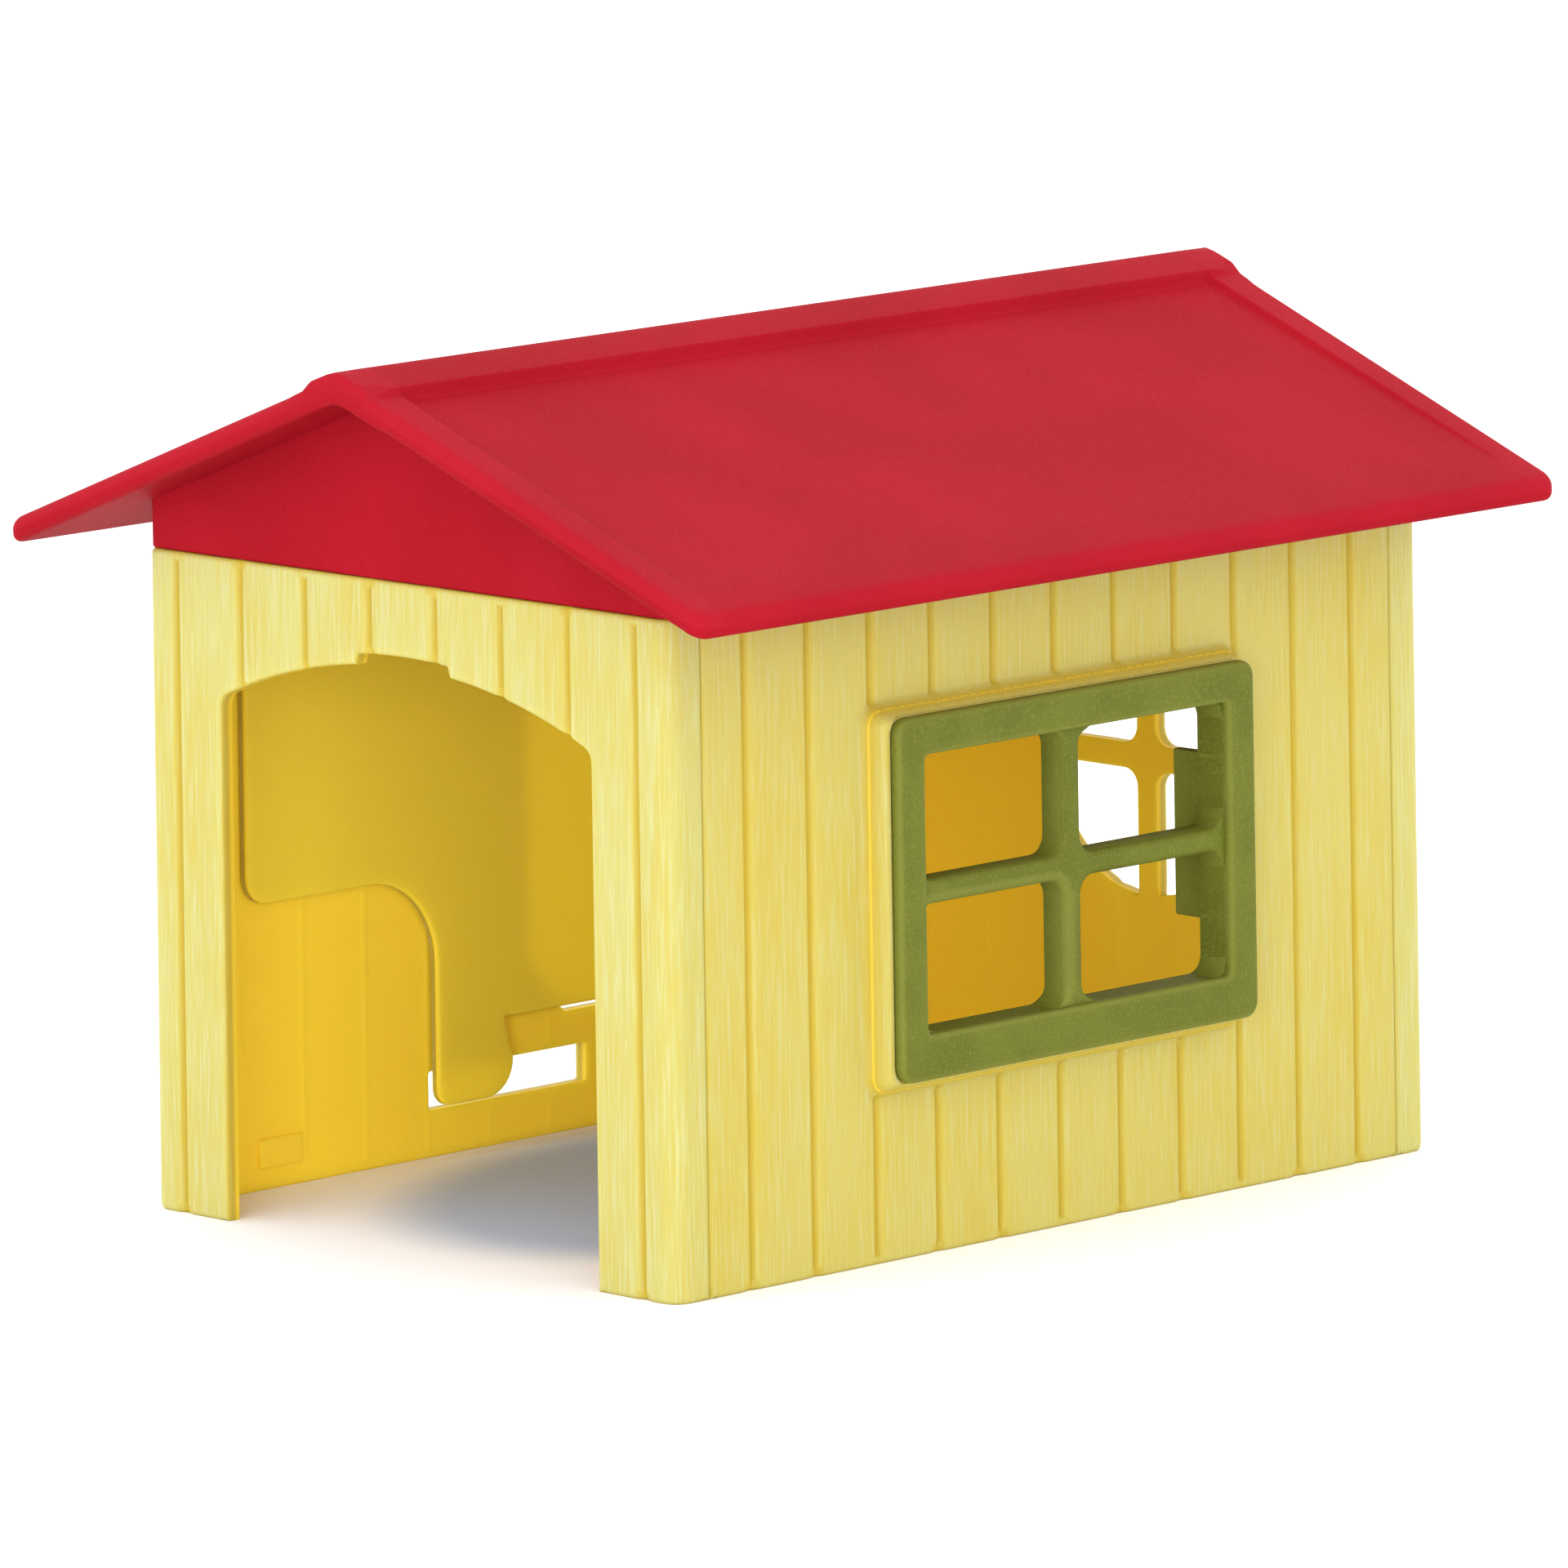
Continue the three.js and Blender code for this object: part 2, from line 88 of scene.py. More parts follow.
def splitLong(loop, step):
    result = []
    for (x0, y0), (x1, y1) in zip(loop, loop[1:] + loop[:1]):
        length = math.hypot(x1 - x0, y1 - y0)
        if length < 1e-6:
            continue
        parts = max(1, math.ceil(length / step))
        result += [(x0 + (x1 - x0) * i / parts, y0 + (y1 - y0) * i / parts) for i in range(parts)]
    return result


def turned(loop, anticlockwise):
    area = sum(x0 * y1 - x1 * y0 for (x0, y0), (x1, y1) in zip(loop, loop[1:] + loop[:1]))
    return loop if (area > 0) == anticlockwise else loop[::-1]


def segments(loops):
    for loop in loops:
        for start, end in zip(loop, loop[1:] + loop[:1]):
            yield np.array(start), np.array(end)


def edgeDistance(points, loops):
    nearest = np.full(len(points), 1e9)
    for start, end in segments(loops):
        run = end - start
        t = np.clip(((points - start) @ run) / (run @ run), 0, 1)
        nearest = np.minimum(nearest, np.hypot(*(points - start - t[:, None] * run).T))
    return nearest


def insideLoops(points, loops):
    inside = np.zeros(len(points), bool)
    x, y = points.T
    for (x0, y0), (x1, y1) in segments(loops):
        if y0 == y1:
            continue
        crosses = (y0 > y) != (y1 > y)
        inside ^= crosses & (x < x0 + (y - y0) * (x1 - x0) / (y1 - y0))
    return inside


def smooth(value, low, high):   # 0 below low, 1 above high, eased between
    t = np.clip((value - low) / (high - low), 0, 1)
    return t * t * (3 - 2 * t)


def roundDrop(distance, radius):   # how far a rounded edge has dropped, at a distance from its outline
    rest = np.clip(radius - distance, 0, radius)
    return radius - np.sqrt(np.maximum(radius ** 2 - rest ** 2, 0))


def roundSteps(radius, count=5):   # distances from the outline that sample such an edge evenly
    return [radius * (1 - math.cos(math.radians(90 * i / count))) for i in range(1, count + 1)]


def closeTo(places, reach, count, spread):   # grid lines: fine near each place, coarse between
    lines = set(np.round(np.linspace(*spread), 3))
    for place in places:
        lines |= set(np.round(np.linspace(place - reach, place + reach, count), 3))
    return sorted(lines)


# a sheet with holes: triangles in the plane, then a front and a back skin

def makeSheet(loops, columns, rows, rings, extra=(), step=1.5):
    loops = [splitLong(turned(loop, i == 0), step) for i, loop in enumerate(loops)]
    fixed = [point for loop in loops for point in loop]
    edges, first = [], 0
    for loop in loops:
        edges += [(first + i, first + (i + 1) % len(loop)) for i in range(len(loop))]
        first += len(loop)
    free = []
    for loop in loops:
        line = np.array(loop)
        ahead = np.roll(line, -1, axis=0) - line
        ahead /= np.linalg.norm(ahead, axis=1)[:, None]
        normalAhead = np.stack([-ahead[:, 1], ahead[:, 0]], 1)
        normal = normalAhead + np.roll(normalAhead, 1, axis=0)
        normal /= np.linalg.norm(normal, axis=1)[:, None]
        normal /= np.clip((normal * normalAhead).sum(1), 0.6, 1)[:, None]
        for ring in rings:
            points = line + normal * ring
            keep = (edgeDistance(points, loops) > 0.93 * ring) & insideLoops(points, loops)
            free.append(points[keep])
    grid = np.array([(u, w) for u in columns for w in rows] + [tuple(p) for p in extra]).reshape(-1, 2)
    clear = rings[-1] + 0.2
    grid = grid[insideLoops(grid, loops)]
    free.append(grid[edgeDistance(grid, loops) > clear])
    points = np.vstack([np.array(fixed), *free])
    made = delaunay_2d_cdt([Vector(p) for p in points], edges, [], 0, 1e-5)
    flat = np.array([tuple(v) for v in made[0]])
    newPlace = {old: new for new, olds in enumerate(made[3]) for old in olds}
    borders, first = [], 0
    for loop in loops:
        borders.append([newPlace[first + i] for i in range(len(loop))])
        first += len(loop)
    outlines = [flat[border].tolist() for border in borders]   # as rounded by the triangulation
    triangles = np.array([face for face in made[2] if len(face) == 3])
    triangles = triangles[insideLoops(flat[triangles].mean(1), outlines)]
    return {"flat": flat, "triangles": triangles, "borders": borders, "edge": edgeDistance(flat, loops)}


def meshObject(name, points, faces, values=None):
    mesh = bpy.data.meshes.new(name)
    mesh.from_pydata([tuple(p) for p in np.asarray(points) * mm], [], faces)
    for key, numbers in (values or {}).items():
        numbers = np.asarray(numbers, np.float32)
        kind = "FLOAT_VECTOR" if numbers.ndim == 2 else "FLOAT"
        layer = mesh.attributes.new(key, kind, "POINT")
        layer.data.foreach_set("vector" if numbers.ndim == 2 else "value", numbers.ravel())
    mesh.validate()
    thing = bpy.data.objects.new(name, mesh)
    bpy.context.scene.collection.objects.link(thing)
    return thing


def closedShell(name, sheet, front, back, values=None):
    count = len(sheet["flat"])
    faces = [tuple(t) for t in sheet["triangles"].tolist()]
    faces += [(c + count, b + count, a + count) for a, b, c in sheet["triangles"].tolist()]
    for border in sheet["borders"]:
        faces += [(a, a + count, b + count, b) for a, b in zip(border, border[1:] + border[:1])]
    thing = meshObject(name, np.vstack([front, back]), faces, values)
    mendNormals(thing.data)
    return thing


def mendNormals(mesh):
    work = bmesh.new()
    work.from_mesh(mesh)
    bmesh.ops.remove_doubles(work, verts=work.verts, dist=1e-7)
    bmesh.ops.recalc_face_normals(work, faces=work.faces)
    work.to_mesh(mesh)
    work.free()


def block(name, low, high, radius=0.35):
    # a small rounded block, for ribs, tongues and lugs
    (x0, y0, z0), (x1, y1, z1) = low, high
    loop = roundedRect(((x0 + x1) / 2, (y0 + y1) / 2), x1 - x0, y1 - y0, radius, 4)
    sheet = makeSheet([loop], [], [], roundSteps(radius, 4), step=6)
    drop = roundDrop(sheet["edge"], radius)
    top = np.column_stack([sheet["flat"], z1 - drop])
    bottom = np.column_stack([sheet["flat"], z0 + drop])
    none = np.zeros(2 * len(drop))
    return closedShell(name, sheet, top, bottom, {"outside": none, "groove": none})


def leanIn(points):   # walls and what they carry lean in with height
    lean = house["lean"] * points[:, 2] / house["height"]
    points = points.copy()
    points[:, 0] *= 1 - lean / house["halfWidth"]
    points[:, 1] *= 1 - lean / house["halfLength"]
    return points


def leanMesh(thing):
    mesh = thing.data
    points = np.empty(len(mesh.vertices) * 3)
    mesh.vertices.foreach_get("co", points)
    points = points.reshape(-1, 3) / mm
    bareInside(mesh, points)
    mesh.vertices.foreach_set("co", (leanIn(points) * mm).ravel())
    mesh.update()
    return thing


def bareInside(mesh, points):   # a union blends the stored values, and the inside has no coat or grooves
    skin = house["thickness"] - 0.15
    inner = np.abs(points[:, 0]) < house["halfWidth"] - skin
    inner &= np.abs(points[:, 1]) < house["halfLength"] - skin
    for key in ("outside", "groove"):
        if key in mesh.attributes:
            values = np.empty(len(points), np.float32)
            mesh.attributes[key].data.foreach_get("value", values)
            values[inner] = 0
            mesh.attributes[key].data.foreach_set("value", values)


def fuse(base, others):   # one closed body out of several, by union
    for other in others:
        cut = base.modifiers.new("join", "BOOLEAN")
        cut.operation = "UNION"
        cut.solver = "EXACT"
        cut.object = other
    return bake(base, others)


def bake(thing, spare=()):   # modifiers into a plain mesh
    bpy.context.view_layer.update()
    graph = bpy.context.evaluated_depsgraph_get()
    mesh = bpy.data.meshes.new_from_object(thing.evaluated_get(graph), depsgraph=graph)
    thing.modifiers.clear()
    old = thing.data
    thing.data = mesh
    mesh.name = thing.name
    bpy.data.meshes.remove(old)
    for other in spare:
        bpy.data.objects.remove(other)
    return thing


def finishPiece(thing, material, body, slotName, *nodes, crease=38):
    mesh = thing.data
    mesh.materials.clear()
    mesh.materials.append(material)
    mesh.polygons.foreach_set("material_index", [0] * len(mesh.polygons))
    mesh.shade_smooth()
    mesh.set_sharp_from_angle(angle=math.radians(crease))
    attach(thing, body)
    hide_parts(*nodes)
    print(f"stage: {thing.name} made, {len(mesh.polygons)} faces")
    return thing


def shaderNode(tree, kind, **settings):
    node = tree.nodes.new(kind)
    for key, value in settings.items():
        setattr(node, key, value)
    return node


def noiseOn(tree, coordinates, scale, detail=3.0, roughness=0.55):
    mapping = shaderNode(tree, "ShaderNodeMapping")
    mapping.inputs["Scale"].default_value = scale
    tree.links.new(coordinates, mapping.inputs["Vector"])
    noise = shaderNode(tree, "ShaderNodeTexNoise")
    noise.inputs["Scale"].default_value = 1.0
    noise.inputs["Detail"].default_value = detail
    noise.inputs["Roughness"].default_value = roughness
    tree.links.new(mapping.outputs["Vector"], noise.inputs["Vector"])
    return noise.outputs["Fac"]


def remap(tree, value, fromLow, fromHigh, toLow, toHigh):
    node = shaderNode(tree, "ShaderNodeMapRange", interpolation_type="SMOOTHSTEP")
    for key, number in zip(("From Min", "From Max", "To Min", "To Max"), (fromLow, fromHigh, toLow, toHigh)):
        node.inputs[key].default_value = number
    tree.links.new(value, node.inputs["Value"])
    return node.outputs["Result"]


def combine(tree, operation, a, b, clamp=False):
    node = shaderNode(tree, "ShaderNodeMath", operation=operation, use_clamp=clamp)
    for socket, value in zip(node.inputs, (a, b)):
        if isinstance(value, (int, float)):
            socket.default_value = value
        else:
            tree.links.new(value, socket)
    return node.outputs[0]


def mixColor(tree, factor, a, b, blend="MIX"):
    node = shaderNode(tree, "ShaderNodeMix", data_type="RGBA", blend_type=blend)
    for name, value in (("Factor", factor), ("A", a), ("B", b)):
        socket = [s for s in node.inputs if s.name == name and (s.type == "RGBA" or name == "Factor")][0]
        if isinstance(value, (int, float)):
            socket.default_value = value
        elif isinstance(value, tuple):
            socket.default_value = (*value, 1)
        else:
            tree.links.new(value, socket)
    return [s for s in node.outputs if s.type == "RGBA"][0]


def bumped(tree, height, strength, distance, below=None):
    bump = shaderNode(tree, "ShaderNodeBump")
    bump.inputs["Strength"].default_value = strength
    bump.inputs["Distance"].default_value = distance
    tree.links.new(height, bump.inputs["Height"])
    if below is not None:
        tree.links.new(below, bump.inputs["Normal"])
    return bump.outputs["Normal"]


def newMaterial(name):
    material = bpy.data.materials.new(name)
    material.use_nodes = True
    tree = material.node_tree
    shader = tree.nodes["Principled BSDF"]
    place = shaderNode(tree, "ShaderNodeTexCoord").outputs["Object"]
    return material, tree, shader, place


yellowLook = {
    "bareWithPaintedLight": (0.99, 0.69, 0.045),         # the moulded plastic, bare inside the house, its colour made extra light as painted light for the dim inside
    "deep": (0.480, 0.345, 0.020),      # outside, in the grooves and where the coat is thin
    "pale": (0.470, 0.440, 0.142),      # the pale dry-brushed coat on the outside
    "streak": (0.52, 0.51, 0.27),
    "roughness": 0.5,
    "glow": 0.45,                       # thin walls let some light through
    "glowReach": (1.0, 0.92, 0.2),
    "glowScale": 0.004,
    "gloss": 0.2,
}


def yellowPlastic():
    look = yellowLook
    material, tree, shader, place = newMaterial("yellowPlastic")
    outside = shaderNode(tree, "ShaderNodeAttribute", attribute_name="outside").outputs["Fac"]
    groove = shaderNode(tree, "ShaderNodeAttribute", attribute_name="groove").outputs["Fac"]
    grain = noiseOn(tree, place, (2600, 2600, 110), 4, 0.6)
    fineGrain = noiseOn(tree, place, (5200, 5200, 420), 3, 0.6)
    blotch = noiseOn(tree, place, (70, 70, 28), 3, 0.5)
    wash = combine(tree, "POWER", groove, 0.6)      # the coat is thin for a little beyond each groove
    raised = combine(tree, "SUBTRACT", 1.0, combine(tree, "MULTIPLY", wash, 0.95))
    cover = combine(tree, "MULTIPLY", outside, raised)
    thin = remap(tree, combine(tree, "ADD", combine(tree, "MULTIPLY", grain, 0.55),
                               combine(tree, "MULTIPLY", blotch, 0.45)), 0.32, 0.60, 0.50, 1.0)
    cover = combine(tree, "MULTIPLY", cover, thin)
    color = mixColor(tree, cover, look["deep"], look["pale"])
    streaks = combine(tree, "MULTIPLY", cover, remap(tree, grain, 0.48, 0.72, 0.0, 0.55))
    color = mixColor(tree, streaks, color, look["streak"])
    skin = remap(tree, outside, 0.0, 0.2, 0.0, 1.0)
    # inside the house: bare plastic, with painted light making it lighter than the dim inside would show
    color = mixColor(tree, skin, look["bareWithPaintedLight"], color)
    tree.links.new(color, shader.inputs["Base Color"])
    height = combine(tree, "MULTIPLY", fineGrain, 0.3)
    height = combine(tree, "ADD", combine(tree, "MULTIPLY", grain, 0.7), height)
    texture = combine(tree, "ADD", combine(tree, "MULTIPLY", outside, 0.8), 0.2)
    height = combine(tree, "MULTIPLY", height, texture)
    sand = noiseOn(tree, place, (4200, 4200, 4200), 2, 0.5)
    normal = bumped(tree, sand, 0.25, 0.00005)
    normal = bumped(tree, height, 0.55, 0.00012, normal)
    tree.links.new(normal, shader.inputs["Normal"])
    matt = remap(tree, grain, 0.3, 0.7, look["roughness"] + 0.08, look["roughness"] - 0.05)
    tree.links.new(matt, shader.inputs["Roughness"])
    shader.inputs["Specular IOR Level"].default_value = look["gloss"]
    shader.inputs["Subsurface Weight"].default_value = look["glow"]
    shader.inputs["Subsurface Radius"].default_value = look["glowReach"]
    shader.inputs["Subsurface Scale"].default_value = look["glowScale"]
    return material


def sandedPlastic(name, look):
    # a moulded colour with a fine sand texture, a little paler where edges are worn, and paler again where a
    # highlight is painted on
    material, tree, shader, place = newMaterial(name)
    wear_and_highlight = shaderNode(tree, "ShaderNodeAttribute", attribute_name="wear_and_highlight").outputs["Fac"]
    sand = noiseOn(tree, place, (look["sandScale"],) * 3, 3, 0.65)
    coarse = noiseOn(tree, place, (look["sandScale"] / 4,) * 3, 3, 0.5)
    blotch = noiseOn(tree, place, look["blotchScale"], 3, 0.5)
    color = mixColor(tree, remap(tree, blotch, 0.35, 0.65, 0.0, 1.0), look["dark"], look["main"])
    color = mixColor(tree, remap(tree, sand, 0.5, 0.75, 0.0, look["speckle"]), color, look["light"])
    # paler where worn, and a painted highlight on the roof's verge band and the window bars
    color = mixColor(tree, combine(tree, "MULTIPLY", wear_and_highlight, look["wearAndHighlightMix"]), color, look["light"])
    tree.links.new(color, shader.inputs["Base Color"])
    height = combine(tree, "MULTIPLY", coarse, 0.35)
    height = combine(tree, "ADD", combine(tree, "MULTIPLY", sand, 0.65), height)
    tree.links.new(bumped(tree, height, look["bump"], 0.0001), shader.inputs["Normal"])
    matt = remap(tree, sand, 0.3, 0.7, look["roughness"] + 0.06, look["roughness"] - 0.06)
    tree.links.new(matt, shader.inputs["Roughness"])
    shader.inputs["Specular IOR Level"].default_value = look["gloss"]
    return material


redLook = {
    "main": (0.320, 0.0048, 0.0125),
    "dark": (0.290, 0.0042, 0.0105),
    "light": (0.41, 0.014, 0.030),
    "sandScale": 3200,
    "blotchScale": (45, 45, 45),
    "speckle": 0.3,
    # paler worn edges, and a painted highlight on the verge band
    "wearAndHighlightMix": 0.3,
    "bump": 0.7,
    "roughness": 0.6,
    "gloss": 0.035,
}

greenLook = {
    "main": (0.116, 0.132, 0.0115),
    "dark": (0.100, 0.114, 0.0095),
    "light": (0.22, 0.232, 0.040),
    "sandScale": 2800,
    "blotchScale": (120, 120, 120),
    "speckle": 0.5,
    # paler worn flange edges, and a painted highlight on the bars' fronts
    "wearAndHighlightMix": 0.45,
    "bump": 0.9,
    "roughness": 0.62,
    "gloss": 0.15,
}

yellow = yellowPlastic()
red = sandedPlastic("redPlastic", redLook)
green = sandedPlastic("greenPlastic", greenLook)
print("stage: materials made")


# plank grooves are cut by geometry nodes along a stored direction

def grooveTree():
    tree = bpy.data.node_groups.new("plankGrooves", "GeometryNodeTree")
    tree.interface.new_socket("Geometry", in_out="INPUT", socket_type="NodeSocketGeometry")
    for name in ("First groove", "Pitch", "Half width", "Depth"):
        tree.interface.new_socket(name, in_out="INPUT", socket_type="NodeSocketFloat")
    tree.interface.new_socket("Grooves", in_out="INPUT", socket_type="NodeSocketInt")
    tree.interface.new_socket("Material", in_out="INPUT", socket_type="NodeSocketMaterial")
    tree.interface.new_socket("Geometry", in_out="OUTPUT", socket_type="NodeSocketGeometry")
    source = tree.nodes.new("NodeGroupInput")
    link = tree.links.new

    def calc(operation, a, b=0.0, c=0.0, clamp=False):
        node = tree.nodes.new("ShaderNodeMath")
        node.operation = operation
        node.use_clamp = clamp
        for socket, value in zip(node.inputs, (a, b, c)):
            if isinstance(value, (int, float)):
                socket.default_value = value
            else:
                link(value, socket)
        return node.outputs[0]

    def stored(name, kind):
        node = tree.nodes.new("GeometryNodeInputNamedAttribute")
        node.data_type = kind
        node.inputs["Name"].default_value = name
        return [s for s in node.outputs if s.enabled and s.name == "Attribute"][0]

    along = stored("along", "FLOAT")
    fromFirst = calc("SUBTRACT", along, source.outputs["First groove"])
    number = calc("ROUND", calc("DIVIDE", fromFirst, source.outputs["Pitch"]))
    number = calc("MAXIMUM", number, 0.0)
    number = calc("MINIMUM", number, calc("SUBTRACT", source.outputs["Grooves"], 1.0))
    away = calc("ABSOLUTE", calc("SUBTRACT", fromFirst, calc("MULTIPLY", number, source.outputs["Pitch"])))
    rise = calc("SUBTRACT", 1.0, calc("DIVIDE", away, source.outputs["Half width"]), clamp=True)
    eased = calc("MULTIPLY", calc("MULTIPLY", rise, rise), calc("SUBTRACT", 3.0, calc("MULTIPLY", rise, 2.0)))
    profile = calc("MULTIPLY", eased, stored("cut", "FLOAT"))
    push = tree.nodes.new("ShaderNodeVectorMath")
    push.operation = "SCALE"
    link(stored("inward", "FLOAT_VECTOR"), push.inputs[0])
    link(calc("MULTIPLY", profile, source.outputs["Depth"]), push.inputs["Scale"])
    move = tree.nodes.new("GeometryNodeSetPosition")
    link(source.outputs["Geometry"], move.inputs["Geometry"])
    link(push.outputs[0], move.inputs["Offset"])
    keep = tree.nodes.new("GeometryNodeStoreNamedAttribute")
    keep.data_type = "FLOAT"
    keep.domain = "POINT"
    keep.inputs["Name"].default_value = "groove"
    link(move.outputs[0], keep.inputs["Geometry"])
    link(profile, [s for s in keep.inputs if s.enabled and s.name == "Value"][0])
    real = tree.nodes.new("GeometryNodeRealizeInstances")
    link(keep.outputs[0], real.inputs[0])
    paint = tree.nodes.new("GeometryNodeSetMaterial")
    link(real.outputs[0], paint.inputs["Geometry"])
    link(source.outputs["Material"], paint.inputs["Material"])
    sink = tree.nodes.new("NodeGroupOutput")
    link(paint.outputs[0], sink.inputs[0])
    return tree


planks = {
    "tree": grooveTree(),
    "halfWidth": 0.85,
    "depth": 0.55,
    "fineReach": 0.75,          # fine mesh lines this far each side of a groove
    "fineLines": 11,
    "bead": 0.14,                # share of the depth that stands out inside the house
    "endPlanks": 7,
    "sidePlanks": 10,
    "narrowPlank": 7.7,
}


def cutGrooves(thing, first, pitch, count):
    modifier = thing.modifiers.new("grooves", "NODES")
    modifier.node_group = planks["tree"]
    values = {"First groove": first * mm, "Pitch": pitch * mm, "Grooves": count,
              "Half width": planks["halfWidth"] * mm, "Depth": planks["depth"] * mm, "Material": yellow}
    for socket in planks["tree"].interface.items_tree:
        if socket.in_out == "INPUT" and socket.name in values:
            modifier[socket.identifier] = values[socket.name]
    return bake(thing)


# end walls: one bent sheet each, round both corners

doorway = {
    "halfWidth": 35.4,
    "head": 11.1,               # wall left above the arch
    "archRadius": 88.0,
    "cornerRadius": 2.2,
    "notchHalfWidth": 9.0,
    "notchSlant": 0.5,
    "notchRise": 1.4,
}

roundWindow = {
    "radius": 19.2,
    "height": 48.6,
    "bar": 3.6,
    "paneCorner": 2.5,
}


def doorwayLoop(low):
    door = doorway
    centre = house["height"] - door["head"] - door["archRadius"]
    side = door["halfWidth"] - door["cornerRadius"]
    up = math.sqrt((door["archRadius"] - door["cornerRadius"]) ** 2 - side ** 2)
    spring = math.degrees(math.atan2(up, side))
    notchRadius = door["archRadius"] + door["notchRise"]
    lowNotch = math.degrees(math.acos(door["notchHalfWidth"] / door["archRadius"]))
    highNotch = math.degrees(math.acos((door["notchHalfWidth"] - door["notchSlant"]) / notchRadius))
    right = arc((side, centre + up), door["cornerRadius"], 0, spring, 6)
    right += arc((0, centre), door["archRadius"], spring, lowNotch, 24)[1:]
    top = arc((0, centre), notchRadius, highNotch, 180 - highNotch, 14)
    left = [(-u, w) for u, w in right][::-1]
    return [(-door["halfWidth"], low), (door["halfWidth"], low)] + right + top + left


def endWallSheet(cut):
    # u runs along the outer face and round both corners, w is the height
    size = house
    radius = size["cornerRadius"]
    straight = size["halfWidth"] - radius
    reach = straight + radius * math.pi / 2 + size["cornerBoard"] - size["seam"] / 2 - radius
    pitch = (2 * size["halfWidth"] - 2 * size["cornerBoard"]) / planks["endPlanks"]
    grooves = [-size["halfWidth"] + size["cornerBoard"] + i * pitch for i in range(planks["endPlanks"] + 1)]
    bend = [side * (straight + radius * math.pi / 2 * i / 8) for side in (-1, 1) for i in range(9)]
    columns = closeTo(grooves, planks["fineReach"], planks["fineLines"], (-reach, reach, 64)) + bend
    rows = np.linspace(0, size["height"], size["rows"])
    outer = [(-reach, 0), (reach, 0), (reach, size["height"]), (-reach, size["height"])]
    if cut == "doorway":   # the doorway is open at the floor, so it is a bay of the outline
        bay = doorwayLoop(0)[1:]
        outer = [(-reach, 0), (-doorway["halfWidth"], 0)] + bay[::-1] + [(reach, 0)]
        outer += [(reach, size["height"]), (-reach, size["height"])]
        loops = [outer]
    else:
        loops = [outer] + [roundPane(quarter) for quarter in range(4)]
    return makeSheet(loops, columns, rows, roundSteps(size["edgeRound"])), grooves, pitch


def roundPane(quarter):
    hole = roundWindow
    bar = hole["bar"] / 2
    edge = math.degrees(math.asin(bar / hole["radius"]))
    corner = hole["paneCorner"]
    pane = arc((0, 0), hole["radius"], edge, 90 - edge, 18)
    pane += arc((bar + corner, bar + corner), corner, 180, 270, 8)
    turn = math.radians(90 * quarter)
    cos, sin = math.cos(turn), math.sin(turn)
    return [(x * cos - z * sin, hole["height"] + x * sin + z * cos) for x, z in pane]


def bendRound(sheet, depth, facing):
    # plan of the outer face: straight, a corner arc, and a short return; depth goes into the house
    size = house
    radius = size["cornerRadius"]
    straight = size["halfWidth"] - radius
    u, w = sheet["flat"].T
    turn = np.clip((np.abs(u) - straight) / radius, 0, math.pi / 2)
    past = np.clip(np.abs(u) - straight - radius * math.pi / 2, 0, None)
    side = np.sign(u)
    x = np.where(turn > 0, side * (straight + radius * np.sin(turn)), u)
    y = radius * (1 - np.cos(turn)) + past
    inward = np.stack([-side * np.sin(turn), np.cos(turn), np.zeros_like(u)], 1)
    points = np.stack([x, y, w], 1) + inward * depth[:, None]
    points[:, 1] = facing * (size["halfLength"] - points[:, 1])
    inward[:, 1] *= -facing
    return points, inward


def endWall(name, facing, cut):
    size = house
    sheet, grooves, pitch = endWallSheet(cut)
    drop = roundDrop(sheet["edge"], size["edgeRound"]) * size["edgeDepth"]
    front, inward = bendRound(sheet, drop, facing)
    back, _ = bendRound(sheet, size["thickness"] - size["innerEdge"] * drop, facing)
    count = len(front)
    along = np.concatenate([sheet["flat"][:, 0], sheet["flat"][:, 0]]) * mm
    cutMask = np.concatenate([np.ones(count), np.full(count, planks["bead"])])
    outside = np.concatenate([smooth(sheet["edge"], -0.3, 0.5), np.zeros(count)])
    wall = closedShell(name, sheet, front, back, {"along": along, "cut": cutMask, "outside": outside,
                                                  "inward": np.vstack([inward, inward])})
    cutGrooves(wall, grooves[0], pitch, len(grooves))
    return wall


joints = {
    "tongue": 1.6,
    "foot": 3.0,
    "rib": 1.6,
    "ribReach": 5.8,
    "bite": 0.4,      # how far a rib runs into the wall that carries it
    "end": 0.1,       # ribs and tongues stop this much short of the floor and the wall's top
}


def cornerRibs(facing):
    # upright ribs inside an end wall that hold the side walls' tongues
    size = house
    outer = size["halfWidth"] - size["thickness"] - 2 * size["gap"] - joints["tongue"]
    near = size["halfLength"] - size["thickness"] + joints["bite"]
    far = size["halfLength"] - size["thickness"] - joints["ribReach"]
    ribs = []
    for side in (-1, 1):
        x = sorted((side * outer, side * (outer - joints["rib"])))
        y = sorted((facing * near, facing * far))
        ribs.append(block("rib", (x[0], y[0], joints["end"]), (x[1], y[1], size["height"] - joints["end"])))
    return ribs


frontWall = endWall("front_wall_moulding", -1, "doorway")
frontWall = leanMesh(fuse(frontWall, cornerRibs(-1)))
finishPiece(frontWall, yellow, "walls", "yellow_plastic", "front_wall")

backWall = endWall("back_wall_moulding", 1, "round window")
backWall = leanMesh(fuse(backWall, cornerRibs(1)))
finishPiece(backWall, yellow, "walls", "yellow_plastic", "back_wall")


# side walls: a flat sheet each, with a tongue at both ends

window = {
    "height": 48.0,
    "width": frameHigh.y / mm - frameLow.y / mm,
    "tall": 48.0,
    "corner": 2.2,
    "opening": (57.0, 36.8),
    "openingHeight": 48.4,
    "reveal": 1.6,
    "paneCorner": 2.5,
    "bar": 3.2,
}

